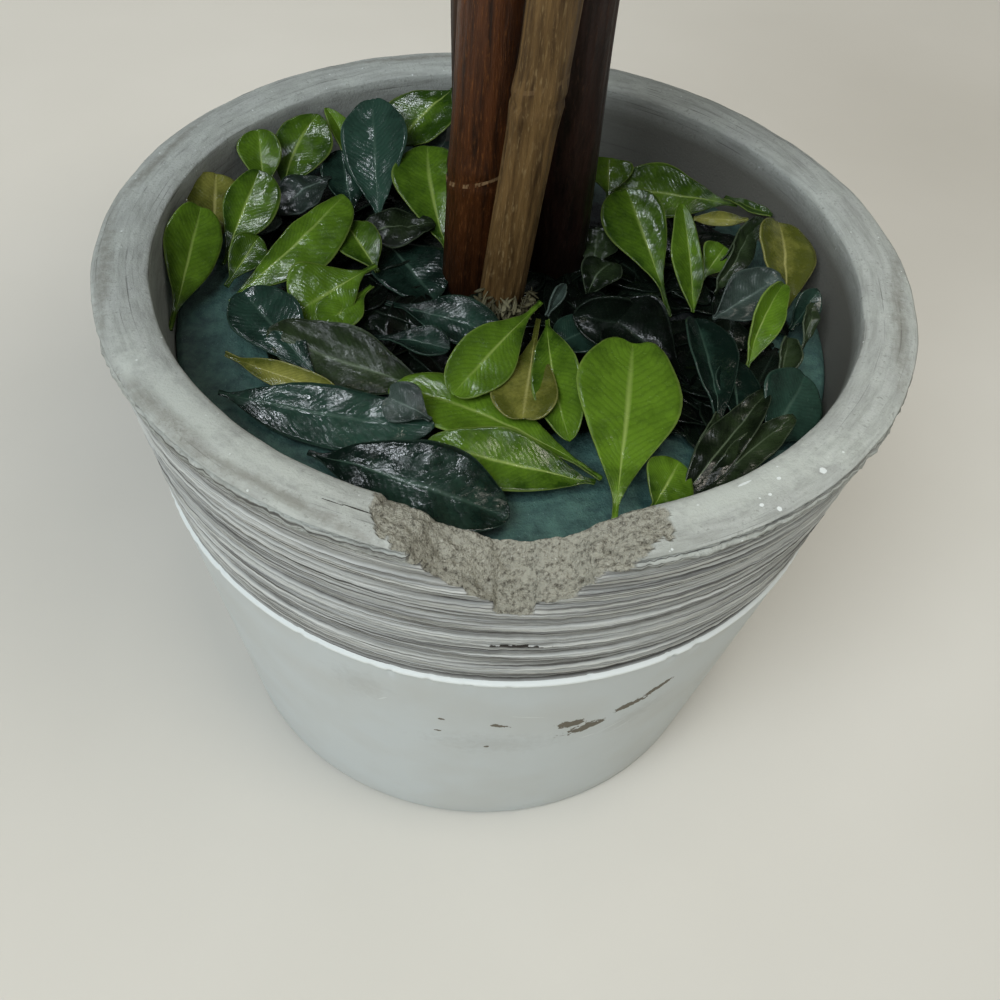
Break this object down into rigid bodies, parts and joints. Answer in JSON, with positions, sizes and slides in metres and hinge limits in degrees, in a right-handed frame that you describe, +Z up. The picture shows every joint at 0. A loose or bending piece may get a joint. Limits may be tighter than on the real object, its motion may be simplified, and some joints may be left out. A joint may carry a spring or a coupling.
{
  "type": "lollipop topiary",
  "caption": "Small indoor lollipop topiary: a clipped ball of box leaves on a bundle of bare stems in a foam-filled, banded cement pot with a chipped lip.",
  "frame": {"origin": "centre of the pot's flat underside, on the pot's axis", "axes": "+Z up along the stems to the ball, +Y from the chipped side of the lip to the whole side, +X to the right as seen from the chipped side"},
  "size_m": [0.1536, 0.1578, 0.3974],
  "materials": {
    "cement": "cast cement, bare and combed at the band, matt white paint below it",
    "foam": "matt dark blue-green plant foam",
    "red_bark": "smooth glossy red-brown bark",
    "tan_bark": "lighter brown bark with lengthwise grain",
    "dark_bark": "smooth brown-black bark",
    "loose_leaf": "glossy preserved box leaves, bright to dark green",
    "ball_leaf": "satin preserved box leaves"
  },
  "bodies": {
    "root": {"pot": "cement", "foam_fill": "foam", "stem_left": "red_bark", "stem_middle": "tan_bark", "stem_right": "dark_bark", "stem_back": "dark_bark", "fallen_leaves_front": "loose_leaf", "fallen_leaves_left": "loose_leaf", "fallen_leaves_back": "loose_leaf", "fallen_leaves_right": "loose_leaf", "clipped_ball": "ball_leaf"}
  },
  "joints": []
}
